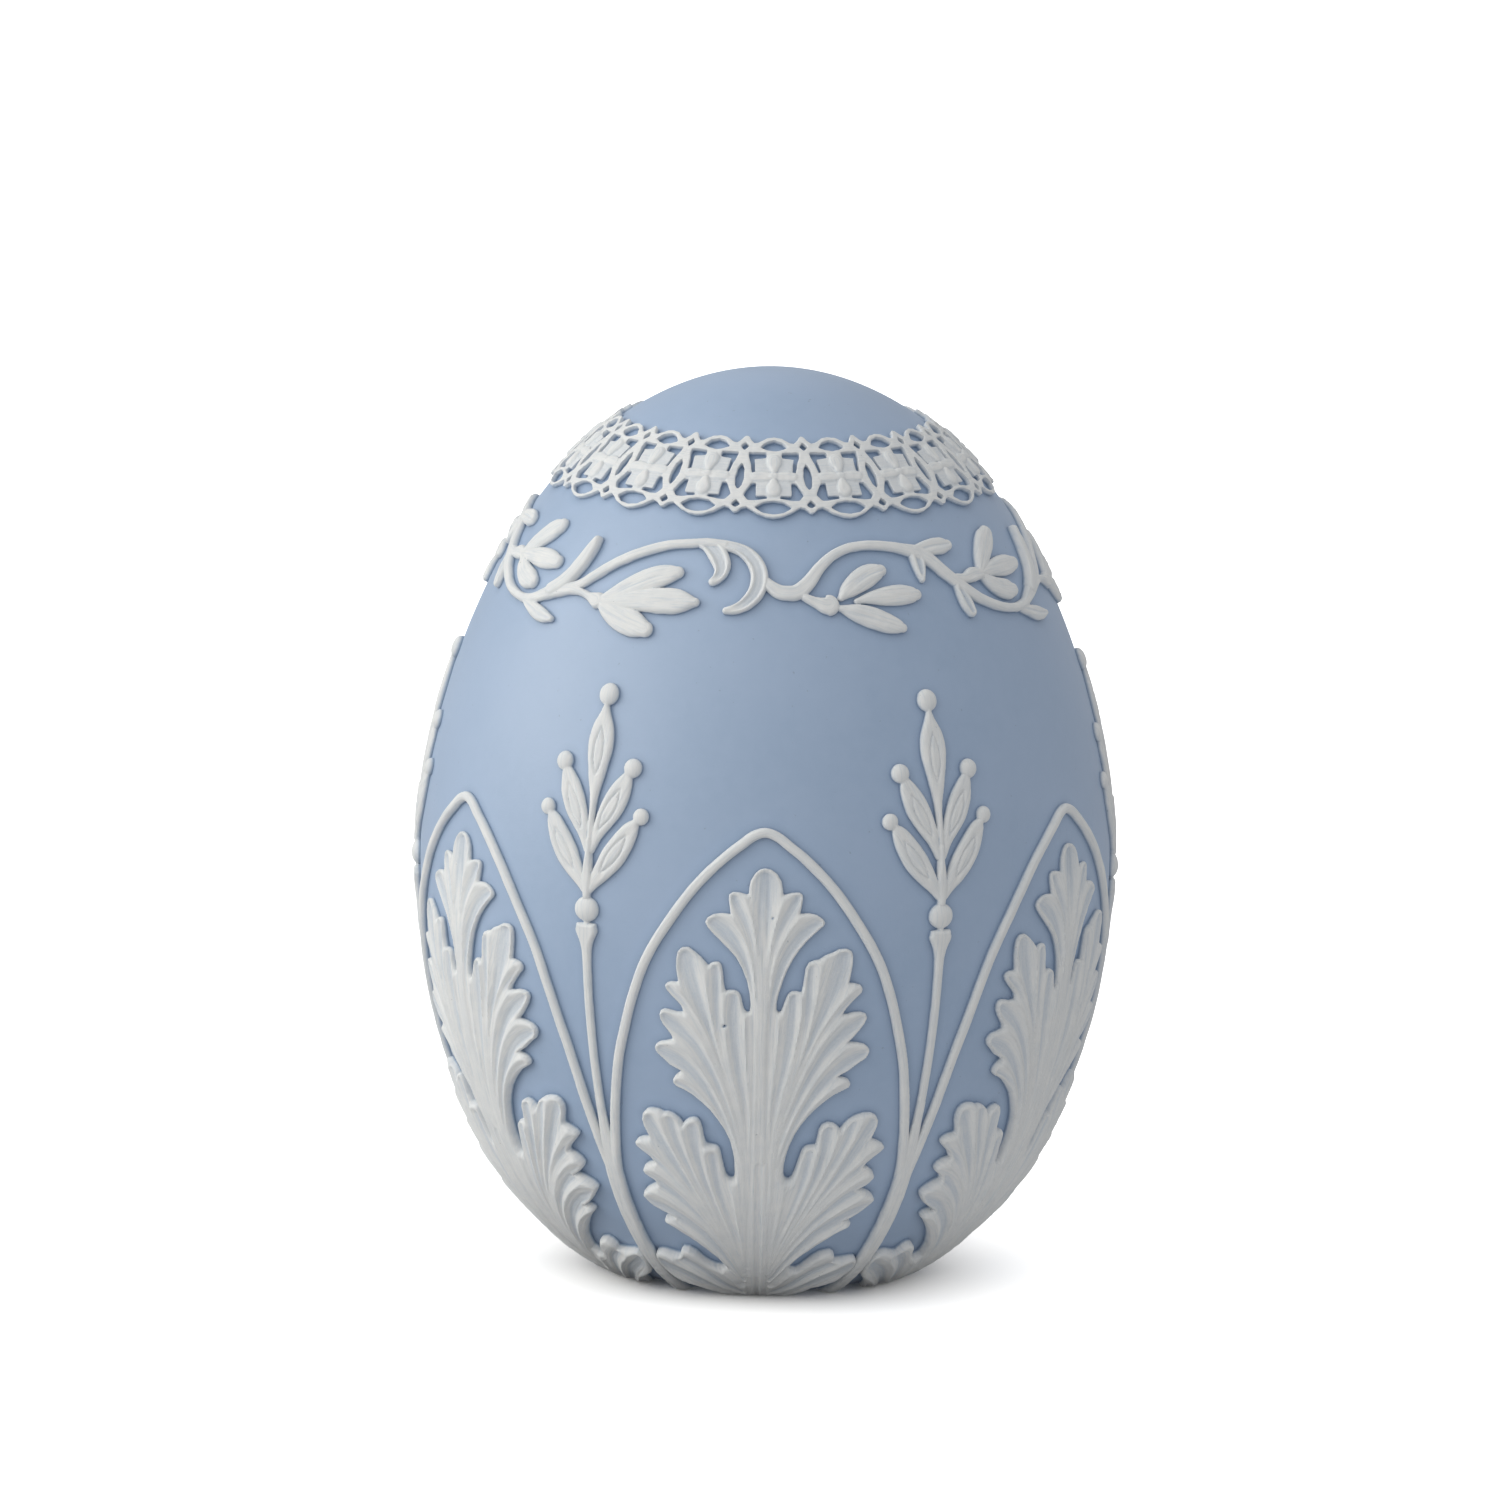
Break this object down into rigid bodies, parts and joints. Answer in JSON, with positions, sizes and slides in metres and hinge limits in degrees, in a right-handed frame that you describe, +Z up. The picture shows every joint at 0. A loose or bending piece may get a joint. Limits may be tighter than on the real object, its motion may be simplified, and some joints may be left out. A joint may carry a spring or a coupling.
{
  "type": "relief decorated table egg",
  "caption": "Free-standing pale-blue table egg on a flat foot, with white relief acanthus leaves under pointed arches, bud sprays, a vine garland and a lace collar.",
  "frame": {"origin": "centre of the flat foot ring, on the surface that the egg stands on", "axes": "+Z up along the egg's axis to the crown; -Y is the front, through the axis of acanthus leaf 1; +X is to the right of the front"},
  "size_m": [0.1464, 0.1466, 0.19],
  "materials": {
    "blue_shell": "matte",
    "white_relief": "matte, hand brushed",
    "stopper": "matte"
  },
  "bodies": {
    "root": {"egg_body": "blue_shell", "base_stopper": "stopper", "acanthus_leaf_1": "white_relief", "acanthus_leaf_2": "white_relief", "acanthus_leaf_3": "white_relief", "acanthus_leaf_4": "white_relief", "acanthus_leaf_5": "white_relief", "acanthus_leaf_6": "white_relief", "arch_frame_1": "white_relief", "arch_frame_2": "white_relief", "arch_frame_3": "white_relief", "arch_frame_4": "white_relief", "arch_frame_5": "white_relief", "arch_frame_6": "white_relief", "bud_spray_1": "white_relief", "bud_spray_2": "white_relief", "bud_spray_3": "white_relief", "bud_spray_4": "white_relief", "bud_spray_5": "white_relief", "bud_spray_6": "white_relief", "vine_scroll_1": "white_relief", "vine_scroll_2": "white_relief", "vine_scroll_3": "white_relief", "vine_flower_1": "white_relief", "vine_flower_2": "white_relief", "vine_flower_3": "white_relief", "lace_band_1": "white_relief", "lace_band_2": "white_relief", "lace_band_3": "white_relief", "lace_band_4": "white_relief", "lace_band_5": "white_relief", "lace_band_6": "white_relief"}
  },
  "joints": []
}
